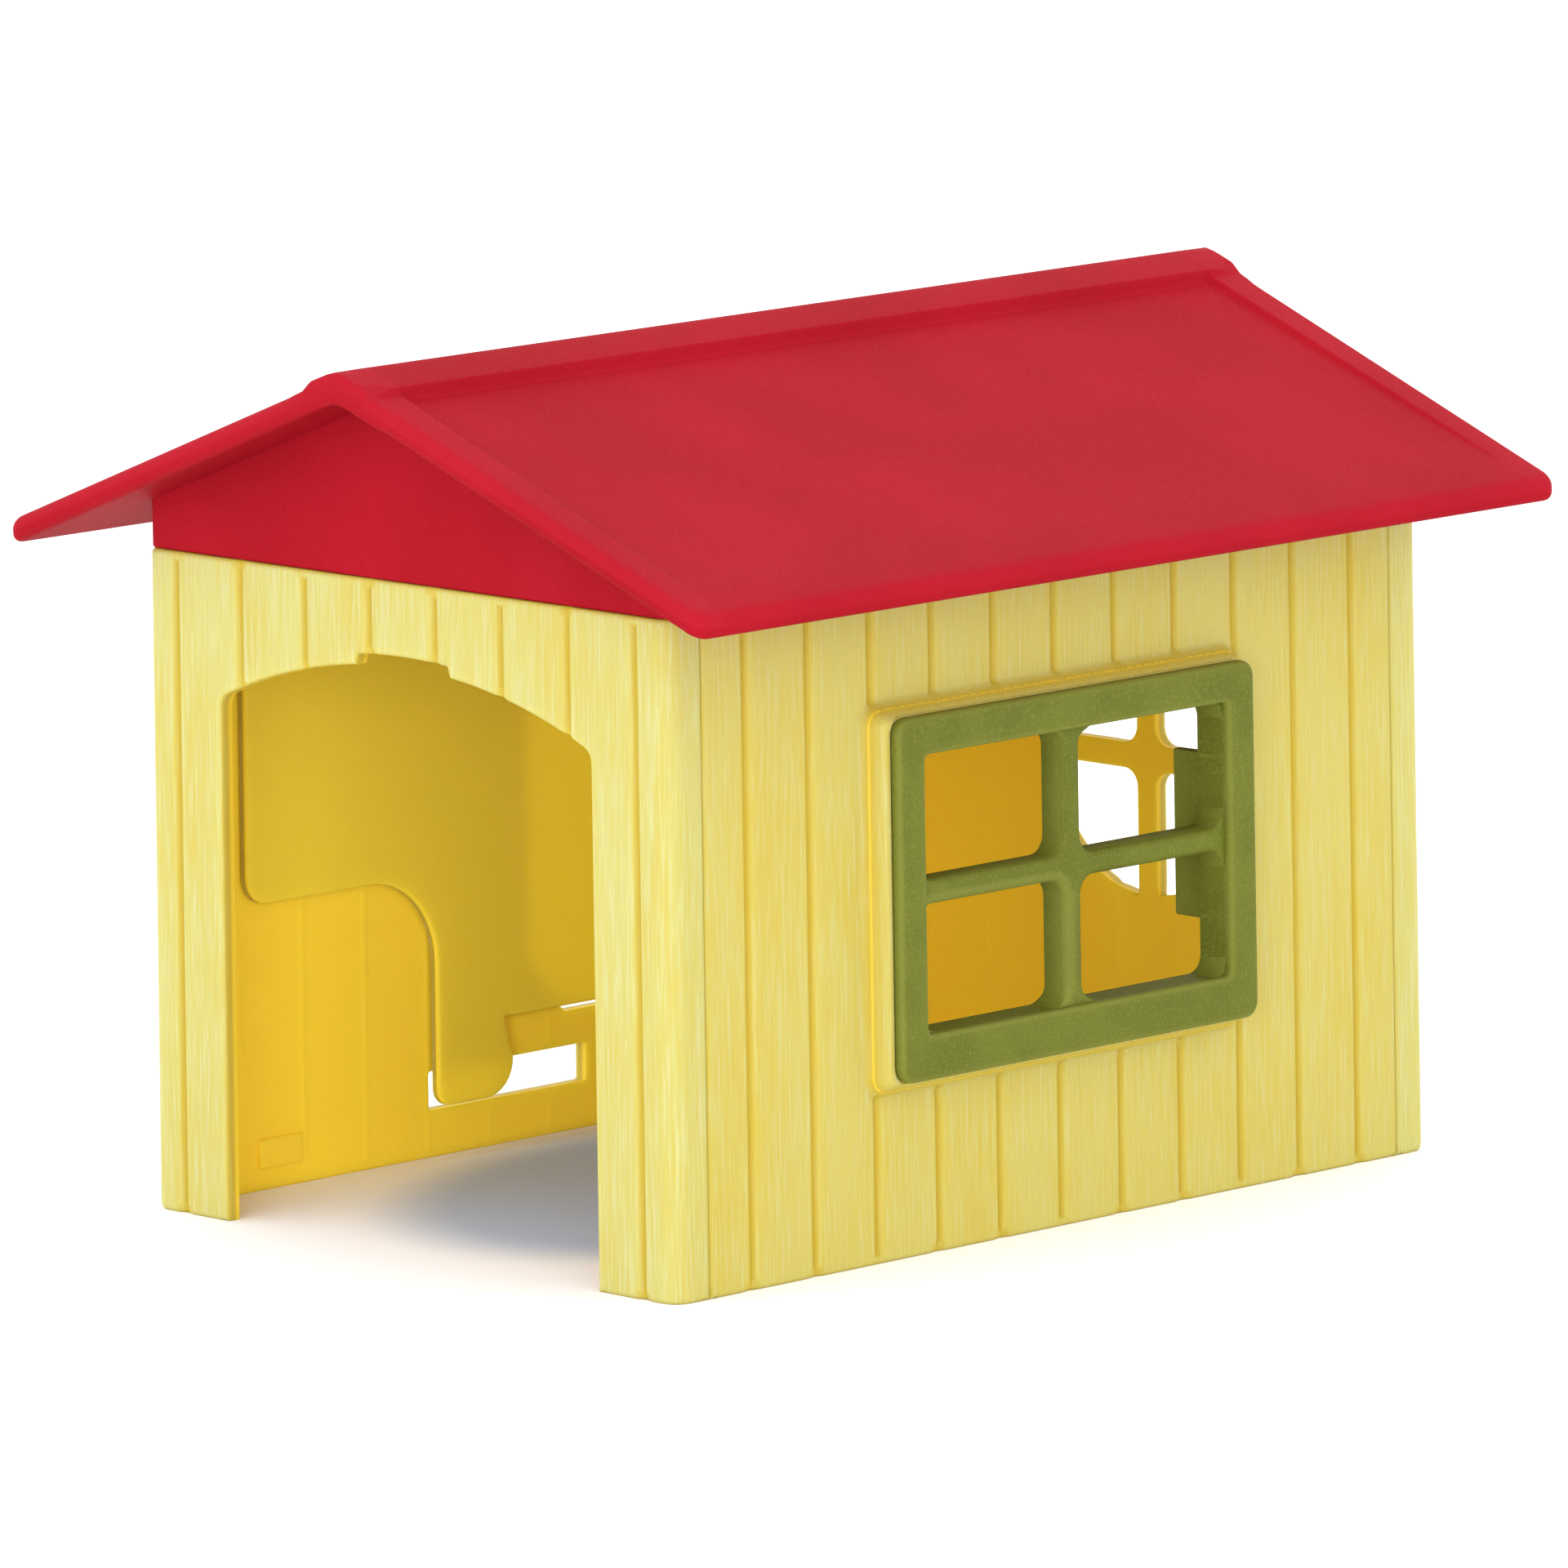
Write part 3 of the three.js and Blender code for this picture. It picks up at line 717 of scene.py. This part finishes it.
surround = {
    "face": rightHigh.x / mm - house["halfWidth"],   # how far it stands proud
    "lip": 0.4,          # and how much further its rim stands, round the green flange
    "margin": 2.3,
    "centre": (-1.2, 47.9),
    "run": 2.8,          # width of its sloping shoulder
    "coat": 0.7,         # the coat is thin on this wall
    "worn": 0.6,         # and this much thinner on the shoulder
    "rebate": (0.06, 0.24),   # the lip drops away between these distances from the flange
    "corner": 3.4,
}


def rectDistance(points, centre, width, height, radius):   # below 0 inside the rounded rectangle
    over = np.abs(points - np.array(centre)) - np.array([width / 2 - radius, height / 2 - radius])
    return np.hypot(*np.maximum(over, 0).T) + np.minimum(over.max(1), 0) - radius


def surroundRise(points):
    width = window["width"] + 2 * surround["margin"]
    height = window["tall"] + 2 * surround["margin"]
    away = -rectDistance(points, surround["centre"], width, height, surround["corner"])
    flangeSize = (window["width"], window["tall"], window["corner"])
    flangeEdge = rectDistance(points, (0, window["height"]), *flangeSize)
    rim = smooth(-away, -surround["run"], 0)
    near, far = surround["rebate"]
    rebate = smooth(-flangeEdge, -far, -near)
    full = surround["face"] + surround["lip"]
    return (full * (1 - rim) - surround["lip"] * rebate) / full


def sideWallSheet(holes, extra):
    size = house
    reach = size["halfLength"] - size["cornerBoard"] - size["seam"] / 2
    first = -size["halfLength"] + size["cornerBoard"] + planks["narrowPlank"]
    pitch = -2 * first / planks["sidePlanks"]
    grooves = [first + i * pitch for i in range(planks["sidePlanks"] + 1)]
    columns = closeTo(grooves, planks["fineReach"], planks["fineLines"], (-reach, reach, 80))
    rows = np.linspace(0, size["height"], size["rows"])
    outer = [(-reach, 0), (reach, 0), (reach, size["height"]), (-reach, size["height"])]
    return makeSheet([outer] + holes, columns, rows, roundSteps(size["edgeRound"]), extra), grooves, pitch


def sideWall(name, facing, holes, extra=(), raised=None):
    size = house
    sheet, grooves, pitch = sideWallSheet(holes, extra)
    drop = roundDrop(sheet["edge"], size["edgeRound"]) * size["edgeDepth"]
    rise = raised(sheet["flat"]) if raised else np.zeros(len(drop))
    u, w = sheet["flat"].T
    proud = rise * (surround["face"] + surround["lip"]) if raised else rise
    front = np.stack([facing * (size["halfWidth"] - drop + proud), u, w], 1)
    inner = size["halfWidth"] - size["thickness"] + size["innerEdge"] * drop
    back = np.stack([facing * inner, u, w], 1)
    inward = np.tile([-facing, 0.0, 0.0], (len(front) * 2, 1))
    flatFace = 1 - smooth(rise, 0.0, 0.25)
    outside = smooth(sheet["edge"], -0.3, 0.5)
    if raised:
        outside *= surround["coat"] - surround["worn"] * np.exp(-((rise - 0.4) / 0.25) ** 2)
    zero = np.zeros(len(front))
    wall = closedShell(name, sheet, front, back, {
        "along": np.concatenate([u, u]) * mm,
        "cut": np.concatenate([flatFace, planks["bead"] * flatFace]),
        "outside": np.concatenate([outside, zero]),
        "inward": inward,
    })
    return cutGrooves(wall, grooves[0], pitch, len(grooves))


def tongues(facing):
    size = house
    outer = size["halfWidth"] - size["thickness"]
    seam = size["halfLength"] - size["cornerBoard"] - size["gap"] / 2
    parts = []
    tip = size["halfLength"] - size["thickness"] - size["gap"]
    for end in (-1, 1):
        y = sorted((end * (seam - joints["foot"]), end * tip))
        x = sorted((facing * (outer - size["gap"]), facing * (outer - size["gap"] - joints["tongue"])))
        low, high = (x[0], y[0], joints["end"]), (x[1], y[1], size["height"] - joints["end"])
        parts.append(block("tongue", low, high))
        x = sorted((facing * (outer + joints["bite"]), facing * (outer - size["gap"] - joints["bite"])))
        y = sorted((end * (seam - joints["foot"]), end * (seam - 0.1)))
        parts.append(block("root", (x[0], y[0], 0.3), (x[1], y[1], size["height"] - 0.3), 0.2))
    return parts


def windowHole():
    width, height = window["opening"]
    grow = 2 * (window["reveal"] + house["gap"])
    return roundedRect((0, window["openingHeight"]), width + grow, height + grow, window["paneCorner"])


def surroundPoints():
    # extra points where the shoulder rises, so that its curve is smooth
    points = []
    for back in np.linspace(-0.2, surround["run"], 12):
        width = window["width"] + 2 * (surround["margin"] - back)
        height = window["tall"] + 2 * (surround["margin"] - back)
        loop = roundedRect(surround["centre"], width, height, max(surround["corner"] - back, 0.8), 8)
        points += splitLong(loop, 0.9)
    for out in (0.30, 0.24, 0.19, 0.15, 0.11, 0.06, 0.0):
        width, height = window["width"] + 2 * out, window["tall"] + 2 * out
        points += splitLong(roundedRect((0, window["height"]), width, height, window["corner"] + out, 8), 0.6)
    return points


rightWall = sideWall("right_wall_moulding", 1, [windowHole()], surroundPoints(), surroundRise)
rightWall = leanMesh(fuse(rightWall, tongues(1)))
finishPiece(rightWall, yellow, "walls", "yellow_plastic", "right_wall")

leftOpenings = {
    "slot": (48.3, 77.8, 6.5, 11.8),     # front, back, foot and top, from the doorway face
    "hatch": (66.0, 105.0, 16.7, 62.0),
    "hatchCorner": 4.0,
    "slant": 8.0,
    "pad": (16.8, 24.6, 3.0, 7.0),
    "padProud": 0.5,
}


def fromFront(distance):
    return distance - house["halfLength"]


def slotLoop():
    front, back, foot, top = leftOpenings["slot"]
    a, b = fromFront(front), fromFront(back)
    return roundedRect(((a + b) / 2, (foot + top) / 2), b - a, top - foot, 0.4, 3)


def hatchLoop():
    front, back, foot, top = leftOpenings["hatch"]
    a, b = fromFront(front), fromFront(back)
    corner, slant = leftOpenings["hatchCorner"], leftOpenings["slant"]
    return ([(a, foot + slant), (a + slant, foot)] + arc((b - corner, foot + corner), corner, 270, 360)
            + arc((b - corner, top - corner), corner, 0, 90)
            + arc((a + corner, top - corner), corner, 90, 180))


def blankPad():
    front, back, foot, top = leftOpenings["pad"]
    inner = -house["halfWidth"] + house["thickness"]
    low = (inner - joints["bite"], fromFront(front), foot)
    high = (inner + leftOpenings["padProud"], fromFront(back), top)
    return block("pad", low, high, 0.3)


leftWall = sideWall("left_wall_moulding", -1, [slotLoop(), hatchLoop()])
leftWall = leanMesh(fuse(leftWall, tongues(-1) + [blankPad()]))
finishPiece(leftWall, yellow, "walls", "yellow_plastic", "left_wall")


board = {
    "front": 14.0, "back": 111.0, "top": 78.0,   # distances from the doorway face, and heights
    "shelf": 39.2, "foot": 17.8, "corner": 3.8, "sweep": 12.0,
    "tongue": (48.5, 62.6, 7.1), "tongueCorner": 5.0, "tongueSlant": 1.6,
    "thickness": 1.5, "edgeRound": 0.5,
}


def boardLoop():
    b = board
    corner, sweep, tip = b["corner"], b["sweep"], b["tongueCorner"]
    front, back = fromFront(b["front"]), fromFront(b["back"])
    tongueFront, tongueBack = fromFront(b["tongue"][0]), fromFront(b["tongue"][1])
    foot = b["tongue"][2]
    return (arc((front + corner, b["shelf"] + corner), corner, 180, 270)
            + arc((tongueFront - sweep, b["shelf"] - sweep), sweep, 90, 0, 12)
            + arc((tongueFront + tip / 2, foot + tip / 2), tip / 2, 180, 270)
            + arc((tongueBack - tip, foot + tip), tip, 270, 360)
            + [(tongueBack - b["tongueSlant"], b["foot"])]
            + arc((back - corner, b["foot"] + corner), corner, 270, 360)
            + arc((back - corner, b["top"] - corner), corner, 0, 90)
            + arc((front + corner, b["top"] - corner), corner, 90, 180))


def innerBoard():
    outer = -house["halfWidth"] + house["thickness"] + house["gap"]
    thickness = board["thickness"]
    rings = roundSteps(board["edgeRound"])
    sheet = makeSheet([boardLoop()], np.linspace(-60, 45, 36), np.linspace(5, 80, 26), rings)
    drop = roundDrop(sheet["edge"], board["edgeRound"])
    u, w = sheet["flat"].T
    room = np.stack([outer + thickness - drop, u, w], 1)
    wall = np.stack([np.full_like(u, outer) + 0.4 * drop, u, w], 1)
    coat = np.concatenate([np.zeros(len(drop)), np.ones(len(drop))])   # coated where the hatch shows it
    return closedShell("inner_board_moulding", sheet, leanIn(room), leanIn(wall), {"outside": coat})


finishPiece(innerBoard(), yellow, "walls", "yellow_plastic", "inner_board")


flange = {
    "back": house["halfWidth"] + surround["face"] + house["gap"],
    "thickness": 1.5,
    "edgeRound": 0.75,
    "depth": 6.0,       # front of the flange to the back of the reveal
    "barSetBack": 1.3,
    "barRound": 1.1,
    "tabLength": 4.6, "tabHeight": 22.4, "tabBarb": 1.0,
}


def acrossX(sheet, x):
    u, w = sheet["flat"].T
    return np.stack([x, u, w], 1)


def windowFlange():
    loops = [roundedRect((0, window["height"]), window["width"], window["tall"], window["corner"]),
             roundedRect((0, window["openingHeight"]), *window["opening"], 0.9)]
    rings = roundSteps(flange["edgeRound"], 6)
    sheet = makeSheet(loops, np.linspace(-34, 34, 60), np.linspace(24, 72, 44), rings, step=1.0)
    drop = roundDrop(sheet["edge"], flange["edgeRound"])
    front = flange["back"] + flange["thickness"]
    wear_and_highlight = np.concatenate([1 - smooth(sheet["edge"], 0.1, 0.9), np.zeros(len(drop))])
    return closedShell("window_frame_moulding", sheet, acrossX(sheet, front - drop),
                       acrossX(sheet, np.full_like(drop, flange["back"])), {"wear_and_highlight": wear_and_highlight})


def windowBars():
    width, height = window["opening"]
    grow = 2 * window["reveal"]
    centre = (0, window["openingHeight"])
    paneWidth, paneHeight = (width - window["bar"]) / 2, (height - window["bar"]) / 2
    loops = [roundedRect(centre, width + grow, height + grow, window["paneCorner"])]
    for side in (-1, 1):
        for up in (-1, 1):
            pane = (side * (paneWidth + window["bar"]) / 2, centre[1] + up * (paneHeight + window["bar"]) / 2)
            loops.append(roundedRect(pane, paneWidth, paneHeight, window["paneCorner"]))
    rings = roundSteps(flange["barRound"], 6)
    sheet = makeSheet(loops, np.linspace(-29, 29, 60), np.linspace(29, 67, 40), rings, step=0.8)
    inside = -rectDistance(sheet["flat"], centre, width, height, 0.6)
    drop = roundDrop(sheet["edge"], flange["barRound"]) * smooth(inside, 0.3, 1.6)
    front = flange["back"] + flange["thickness"]
    # painted highlight: the bars' fronts are made paler all over
    wear_and_highlight = np.concatenate([np.ones(len(drop)), np.zeros(len(drop))])
    return closedShell("bars", sheet, acrossX(sheet, front - flange["barSetBack"] - drop),
                       acrossX(sheet, front - flange["depth"] + 0.5 * drop), {"wear_and_highlight": wear_and_highlight})


def snapTab(side):
    front = flange["back"] + flange["thickness"]
    backX = front - flange["depth"]
    inner = side * window["opening"][0] / 2
    outer = inner + side * window["reveal"]
    wall = house["halfWidth"] - house["thickness"] - house["gap"]
    centre = window["openingHeight"]
    low, high = centre - flange["tabHeight"] / 2, centre + flange["tabHeight"] / 2
    y = sorted((inner, outer))
    tab = block("tab", (backX - flange["tabLength"], y[0], low), (backX + 1, y[1], high), 0.3)
    y = sorted((outer - side * joints["bite"], outer + side * (house["gap"] + flange["tabBarb"])))
    hook = block("hook", (wall - 1.2, y[0], low + 2), (wall, y[1], high - 2), 0.3)
    return [tab, hook]


windowFrame = fuse(windowFlange(), [windowBars()] + snapTab(-1) + snapTab(1))
finishPiece(leanMesh(windowFrame), green, "walls", "green_plastic", "window_frame")


roof = {
    "sideRise": 8.75,        # slope's top above the roof's foot, over a side wall's face
    "fall": 0.383,
    "thickness": 3.4,
    "halfSpan": roofHigh.x / mm,
    "overhang": 9.6,
    "rake": 1.1,
    "cap": 6.0, "capRise": 0.8, "soften": 0.8, "lower": 0.35,   # the ridge line is softened and lowered
    "verge": 4.8, "fieldDepth": 0.85, "fieldMargin": 7.0,
    "eaveCorner": 2.4,
    "edgeRound": 1.4, "ridgeRound": 0.6,
    "inset": 0.5, "skirt": 3.0,
    "lugDepth": 6.0, "lug": 1.6, "lugWidth": 14.0, "lugSpread": 35.0, "endLugSpread": 22.0,
    "seat": 0.06,            # hairline left between the roof and the walls it rests on
    "footRound": 0.3,
}
roofFoot = house["height"] + house["gap"]
roofTop = roofFoot + roof["sideRise"] + roof["fall"] * house["halfWidth"]
fieldEnd = roof["halfSpan"] - roof["fieldMargin"]


def slopeAt(x, height):   # a slope with its ridge line softened
    return height - roof["fall"] * (np.sqrt(x ** 2 + roof["soften"] ** 2) - roof["lower"])


def roofTopAt(x, y):
    away = np.abs(x)
    reach = house["halfLength"] + roof["overhang"] - roof["verge"]
    cap = roof["capRise"] * (1 - smooth(away, roof["cap"] - 0.05, roof["cap"] + 0.3))
    share = np.clip((fieldEnd - away) / (fieldEnd - roof["cap"]), 0, 1) ** 0.5
    field = roof["fieldDepth"] * share * smooth(reach - np.abs(y), 0, 0.7)
    return slopeAt(x, roofTop) + cap - field * smooth(away, roof["cap"], roof["cap"] + 0.6)


def roofLoop():
    eave = house["halfLength"] + roof["overhang"]
    ridge = eave + roof["rake"]
    corner = roof["eaveCorner"]
    span = roof["halfSpan"]
    quarter = arc((span - corner, eave - corner), corner, 0, 90, 7) + [(0, ridge)]
    left = [(-x, y) for x, y in quarter[:-1]][::-1]
    top = quarter + left
    return top + [(-x, -y) for x, y in top]


def roofSlab():
    reach = house["halfLength"] + roof["overhang"] - roof["verge"]
    span = roof["halfSpan"]
    columns = closeTo([0, -roof["cap"] - 0.1, roof["cap"] + 0.1], 0.7, 15, (-span, span, 48))
    rows = closeTo([-reach + 0.35, reach - 0.35], 0.7, 10, (-80, 80, 56))
    sheet = makeSheet([roofLoop()], columns, rows, roundSteps(roof["edgeRound"], 6), step=1.6)
    x, y = sheet["flat"].T
    radius = roof["ridgeRound"] + (roof["edgeRound"] - roof["ridgeRound"]) * smooth(np.abs(x), 6.5, 10)
    drop = roundDrop(sheet["edge"], radius)
    top = np.stack([x, y, roofTopAt(x, y) - drop], 1)
    bottom = np.stack([x, y, slopeAt(x, roofTop - roof["thickness"]) + drop], 1)
    verge = smooth(np.abs(y), reach - 0.4, reach + 0.4)
    nearEdge = 1 - smooth(sheet["edge"], 0.4, 2.0)
    # paler verge band: a painted highlight; paler near the edges: wear
    wear_and_highlight = np.concatenate([np.clip(0.55 * verge + 0.6 * nearEdge, 0, 1), np.zeros(len(x))])
    return closedShell("roof_moulding", sheet, top, bottom, {"wear_and_highlight": wear_and_highlight})


def roofSkirt():
    # gables and skirt: one upright ring whose top is buried in the slab
    spanX = house["halfWidth"] - house["lean"] - roof["inset"]
    spanY = house["halfLength"] - house["lean"] - roof["inset"]
    wall = roof["skirt"]
    loops = [roundedRect((0, 0), 2 * spanX, 2 * spanY, 1.2, 4),
             roundedRect((0, 0), 2 * (spanX - wall), 2 * (spanY - wall), 0.8, 4)]
    across, along = np.linspace(-50, 50, 41), np.linspace(-71, 71, 41)
    sheet = makeSheet(loops, across, along, roundSteps(roof["footRound"], 4), step=1.25)
    x, y = sheet["flat"].T
    rounded = roundDrop(sheet["edge"], roof["footRound"])
    bottom = np.stack([x, y, house["height"] + roof["seat"] + rounded], 1)
    top = np.stack([x, y, slopeAt(x, roofTop - roof["thickness"] / 2)], 1)
    return closedShell("skirt", sheet, top, bottom)


def roofLugs():
    size = house
    outerX = size["halfWidth"] - size["lean"] - size["thickness"] - size["gap"]
    outerY = size["halfLength"] - size["lean"] - size["thickness"] - size["gap"]
    low, high = size["height"] - roof["lugDepth"], roofFoot + roof["skirt"]
    half = roof["lugWidth"] / 2
    lugs = []
    for side in (-1, 1):
        for way in (-1, 1):
            x = sorted((side * outerX, side * (outerX - roof["lug"])))
            y = sorted((side * outerY, side * (outerY - roof["lug"])))
            placeY, placeX = way * roof["lugSpread"], way * roof["endLugSpread"]
            lugs.append(block("lug", (x[0], placeY - half, low), (x[1], placeY + half, high)))
            lugs.append(block("lug", (placeX - half, y[0], low), (placeX + half, y[1], high)))
    return lugs


roofPiece = fuse(roofSlab(), [roofSkirt()] + roofLugs())
finishPiece(roofPiece, red, "roof", "red_plastic", "roof")


floorLook = {
    "reach": 3000,
    "open": (0.97, 0.98, 0.99),
    "paintedShadowUnderHouse": (0.47, 0.56, 0.72),        # painted shadow: darker and cool where the house stands over the floor
}


def makeFloor():
    far = floorLook["reach"]
    corners = [(-far, -far, 0), (far, -far, 0), (far, far, 0), (-far, far, 0)]
    floor = meshObject("floor", corners, [(0, 1, 2, 3)])
    material, tree, shader, place = newMaterial("paleFloor")
    spread = shaderNode(tree, "ShaderNodeMapping")   # 1 at the walls' foot, less under the house, where the shadow is painted
    reach = (house["halfWidth"] * mm, house["halfLength"] * mm)
    spread.inputs["Scale"].default_value = (1 / reach[0], 1 / reach[1], 0)
    tree.links.new(place, spread.inputs["Vector"])
    away = shaderNode(tree, "ShaderNodeVectorMath", operation="LENGTH")
    tree.links.new(spread.outputs["Vector"], away.inputs[0])
    outer = remap(tree, away.outputs["Value"], 0.72, 1.0, 0.0, 1.0)
    # painted shadow: the floor's colour goes darker and cooler under the house
    color = mixColor(tree, outer, floorLook["paintedShadowUnderHouse"], floorLook["open"])
    tree.links.new(color, shader.inputs["Base Color"])
    shader.inputs["Roughness"].default_value = 0.9
    shader.inputs["Specular IOR Level"].default_value = 0.1
    floor.data.materials.append(material)


lights = {
    "world": 1.6,
    "target": (0, 0, 0.05),
    "key": {"place": (0.72, -1.25, 0.26), "size": 0.45, "power": 4.2},
    "fill": {"place": (0.0, -1.6, 0.4), "size": 0.8, "power": 1.5},
    "side": {"place": (1.3, -0.8, 0.12), "size": 0.6, "power": 3.4},
}


def areaLight(name, place, size, power):
    data = bpy.data.lights.new(name, "AREA")
    data.size = size
    data.energy = power
    lamp = bpy.data.objects.new(name, data)
    target = Vector(lights["target"])
    lamp.location = place
    lamp.rotation_euler = (target - Vector(place)).to_track_quat("-Z", "Y").to_euler()
    bpy.context.scene.collection.objects.link(lamp)


def makeWorld():
    world = bpy.data.worlds.new("studio")
    world.use_nodes = True
    background = world.node_tree.nodes["Background"]
    background.inputs["Color"].default_value = (1, 1, 1, 1)
    background.inputs["Strength"].default_value = lights["world"]
    bpy.context.scene.world = world


cameraView = {
    "azimuth": 45.53, "elevation": 9.445, "roll": -0.83,
    "distance": 1.9248, "across": -0.0016, "up": 0.05288,
    "lens": 329.38, "sensor": 36, "clipEnd": 20,
}


def makeCamera():
    view = cameraView
    azimuth, elevation, roll = (math.radians(view[key]) for key in ("azimuth", "elevation", "roll"))
    level = math.cos(elevation)
    back = Vector((math.sin(azimuth) * level, -math.cos(azimuth) * level, math.sin(elevation)))
    right = Vector((math.cos(azimuth), math.sin(azimuth), 0))
    up = back.cross(right)
    right, up = (right * math.cos(roll) + up * math.sin(roll), up * math.cos(roll) - right * math.sin(roll))
    data = bpy.data.cameras.new("camera")
    data.lens = view["lens"]
    data.sensor_width = view["sensor"]
    data.clip_end = view["clipEnd"]
    camera = bpy.data.objects.new("camera", data)
    place = back * view["distance"] + right * view["across"] + up * view["up"]
    turn = Matrix((right, up, back)).transposed().to_4x4()
    camera.matrix_world = Matrix.Translation(place) @ turn
    bpy.context.scene.collection.objects.link(camera)
    bpy.context.scene.camera = camera


makeFloor()
makeWorld()
for lampName in ("key", "fill", "side"):
    areaLight(lampName, **lights[lampName])
makeCamera()
bpy.context.scene.view_settings.view_transform = "Standard"
print("stage: floor, light and camera made")
